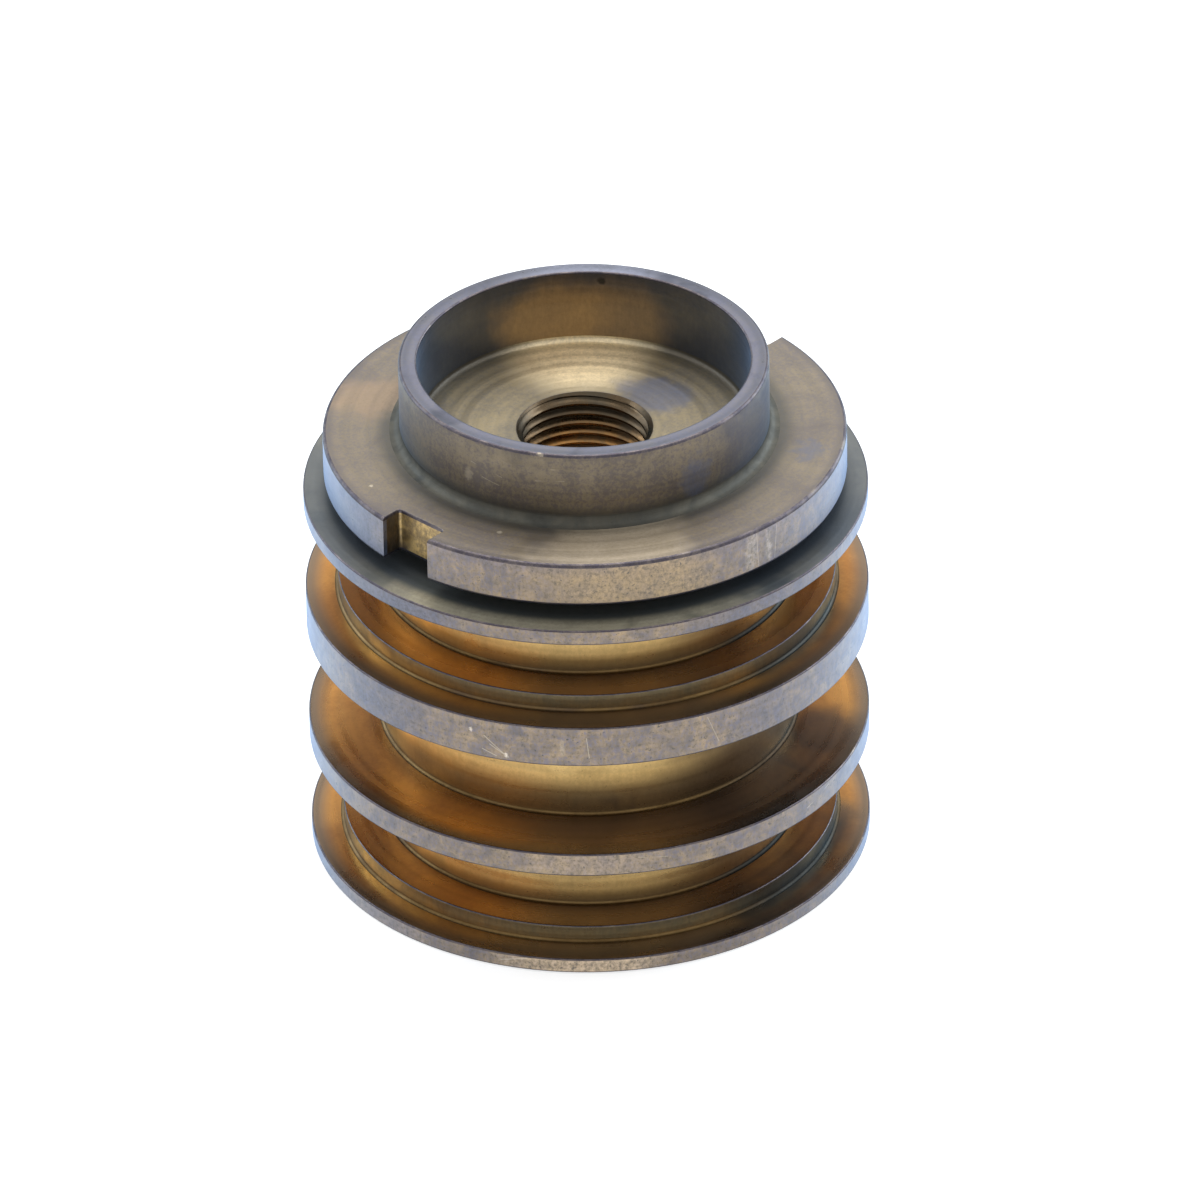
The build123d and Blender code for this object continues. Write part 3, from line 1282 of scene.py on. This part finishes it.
def finishes() -> dict[Surface, TurnedBrass]:
    """The finish of every kind of surface.

    Returns:
        One finish for each surface, in the order of their material numbers.
    """
    # Painted shade: the thread darkens towards the top of the hole.
    thread = TurnedBrass(
        "thread_brass", clean=(0.50, 0.25, 0.075), tarnish=(0.24, 0.15, 0.075), deep=(0.09, 0.07, 0.05),
        tarnished=0.45, blackened=0.0, patch=3.0, line_pitch=0.6, lines=0.1, streaks=0.1, specks=0.1,
        roughness=0.32, anisotropy=0.0, film=0.0, haze=0.0,
        bands=(Band((0.055, 0.05, 0.038), 35.0, 39.5, strength=0.9),))
    every = {**rim_finishes(), **groove_finishes(), **cup_finishes(), **flange_finishes(),
             Surface.THREAD: thread}
    return {surface: every[surface] for surface in Surface}


@dataclass(frozen=True)
class Softbox:
    """A square lamp that faces the part and isn't seen itself.

    The bearing is in degrees to the left of the camera's line, seen from the part's far side, and the
    lift in degrees above the floor. Lengths are in metres.
    """

    name: str
    bearing: float
    lift: float
    watts: float
    colour: Colour
    away: float = 0.45
    side: float = 0.35
    middle: float = 0.02

    def hang(self, azimuth_deg: float) -> None:
        """Hang the lamp.

        Args:
            azimuth_deg: The camera's azimuth, in degrees.
        """
        turn = math.radians(90 - azimuth_deg + self.bearing)
        rise = math.radians(self.lift)
        toward = Vector((math.cos(turn) * math.cos(rise), math.sin(turn) * math.cos(rise), math.sin(rise)))
        data = bpy.data.lights.new(self.name, "AREA")
        data.size, data.energy, data.color = self.side, self.watts, self.colour
        lamp = bpy.data.objects.new(self.name, data)
        lamp.location = toward * self.away + Vector((0, 0, self.middle))
        lamp.rotation_euler = toward.to_track_quat("Z", "Y").to_euler()
        lamp.visible_camera = False
        bpy.context.scene.collection.objects.link(lamp)


WARM_WHITE = (1.0, 0.98, 0.95)
COOL_WHITE = (0.78, 0.88, 1.0)


@dataclass
class Studio:
    """White room, floor, lamps and the camera.

    The camera is set by its pitch, azimuth and roll in degrees, its distance in millimetres and its
    offset from the target in pixels. The floor's size is in metres and its gap in millimetres. Fill is
    the strength of the room's light on the part, where 1 is white.
    """

    pitch_deg: float = 32.287
    azimuth_deg: float = 46.5
    roll_deg: float = -0.903
    distance: float = 1374.7
    focal: float = 466.35
    sensor: float = 36.0
    aside_px: float = -14.50
    above_px: float = 121.65
    pixels_per_mm: float = 11.308
    target_z: float = 35.885
    farthest: float = 10.0
    fill: float = 0.6
    floor_size: float = 4.0
    floor_gap: float = 0.05
    floor_grey: float = 0.6
    floor_glow: float = 0.65
    softboxes: tuple[Softbox, ...] = (
        Softbox("overhead_softbox", 0, 72, 1.5, WARM_WHITE),
        Softbox("left_softbox", 60, 24, 1.2, COOL_WHITE),
        Softbox("right_softbox", -60, 24, 1.8, COOL_WHITE),
    )

    def _axes(self) -> list[Vector]:
        """The camera's own axes in the room.

        Returns:
            Its right, its up and its back.
        """
        pitch, roll = math.radians(self.pitch_deg), math.radians(self.roll_deg)
        right = Vector((1, 0, 0))
        up = Vector((0, math.sin(pitch), math.cos(pitch)))
        ahead = Vector((0, math.cos(pitch), -math.sin(pitch)))
        tilted_right = math.cos(roll) * right + math.sin(roll) * up
        tilted_up = math.cos(roll) * up - math.sin(roll) * right
        turn = Matrix.Rotation(math.radians(-self.azimuth_deg), 3, "Z")
        return [turn @ axis for axis in (tilted_right, tilted_up, -ahead)]

    def camera(self) -> None:
        """Set the camera."""
        right, up, back = self._axes()
        aside = self.aside_px / self.pixels_per_mm
        above = self.above_px / self.pixels_per_mm
        place = Vector((0, 0, self.target_z)) - right * aside - up * above + back * self.distance
        data = bpy.data.cameras.new("camera")
        data.sensor_width = self.sensor
        data.lens = self.focal
        data.clip_end = self.farthest
        camera = bpy.data.objects.new("camera", data)
        rotation = Matrix((right, up, back)).transposed().to_4x4()
        camera.matrix_world = Matrix.Translation(place * MM) @ rotation
        bpy.context.scene.collection.objects.link(camera)
        bpy.context.scene.camera = camera

    def light(self) -> None:
        """Hang the softboxes: one overhead and a cool one on either side, behind the part."""
        for softbox in self.softboxes:
            softbox.hang(self.azimuth_deg)

    def room(self) -> None:
        """Set the white world and lay the floor."""
        world = bpy.data.worlds.new("room")
        world.use_nodes = True
        bench = NodeBench(world.node_tree)
        background = world.node_tree.nodes["Background"]
        bench.plug(background.inputs["Color"], (1, 1, 1))
        rest = bench.sum("MULTIPLY", self._seen(bench), 1 - self.fill)
        bench.plug(background.inputs["Strength"], bench.sum("ADD", self.fill, rest))
        bpy.context.scene.world = world
        self._floor()

    def _seen(self, bench: NodeBench) -> bpy.types.NodeSocket:
        """Tell the rays that show the room from those that light the part.

        Args:
            bench: Where the nodes go.

        Returns:
            1 for rays from the camera, a reflection or glass, 0 for the light on the part.
        """
        rays = bench.add("LightPath").outputs
        either = bench.sum("ADD", rays["Is Camera Ray"], rays["Is Glossy Ray"])
        return bench.sum("ADD", either, rays["Is Transmission Ray"], True)

    def _floor(self) -> None:
        """Lay a wide white floor that shows white and keeps the part's shadow."""
        wide = self.floor_size / 2
        corners = [(-wide, -wide, 0), (wide, -wide, 0), (wide, wide, 0), (-wide, wide, 0)]
        mesh = bpy.data.meshes.new("floor")
        mesh.from_pydata(corners, [], [(0, 1, 2, 3)])
        floor = bpy.data.objects.new("floor", mesh)
        floor.location.z = -self.floor_gap * MM
        bpy.context.scene.collection.objects.link(floor)
        mat = bpy.data.materials.new("white_floor")
        mat.use_nodes = True
        bench = NodeBench(mat.node_tree)
        shader = mat.node_tree.nodes["Principled BSDF"]
        bench.plug(shader.inputs["Base Color"], (self.floor_grey,) * 3)
        bench.plug(shader.inputs["Roughness"], 1)
        bench.plug(shader.inputs["Specular IOR Level"], 0)
        bench.plug(shader.inputs["Emission Color"], (1, 1, 1))
        glow = bench.sum("MULTIPLY", self._seen(bench), self.floor_glow)
        bench.plug(shader.inputs["Emission Strength"], glow)
        mesh.materials.append(mat)


def main() -> None:
    """Build the piston, dress it and set the room."""
    logging.basicConfig(level=logging.INFO, format="%(message)s")
    materials = {surface: finish.material() for surface, finish in finishes().items()}
    for maker in (PistonBody(), RodThread()):
        piece = maker.build()
        maker.dress(piece, materials)
        log.info("%s: %d faces", piece.name, len(piece.data.polygons))
    studio = Studio()
    studio.camera()
    studio.light()
    studio.room()
    bpy.context.scene.view_settings.view_transform = "Standard"


if __name__ == "__main__":
    main()
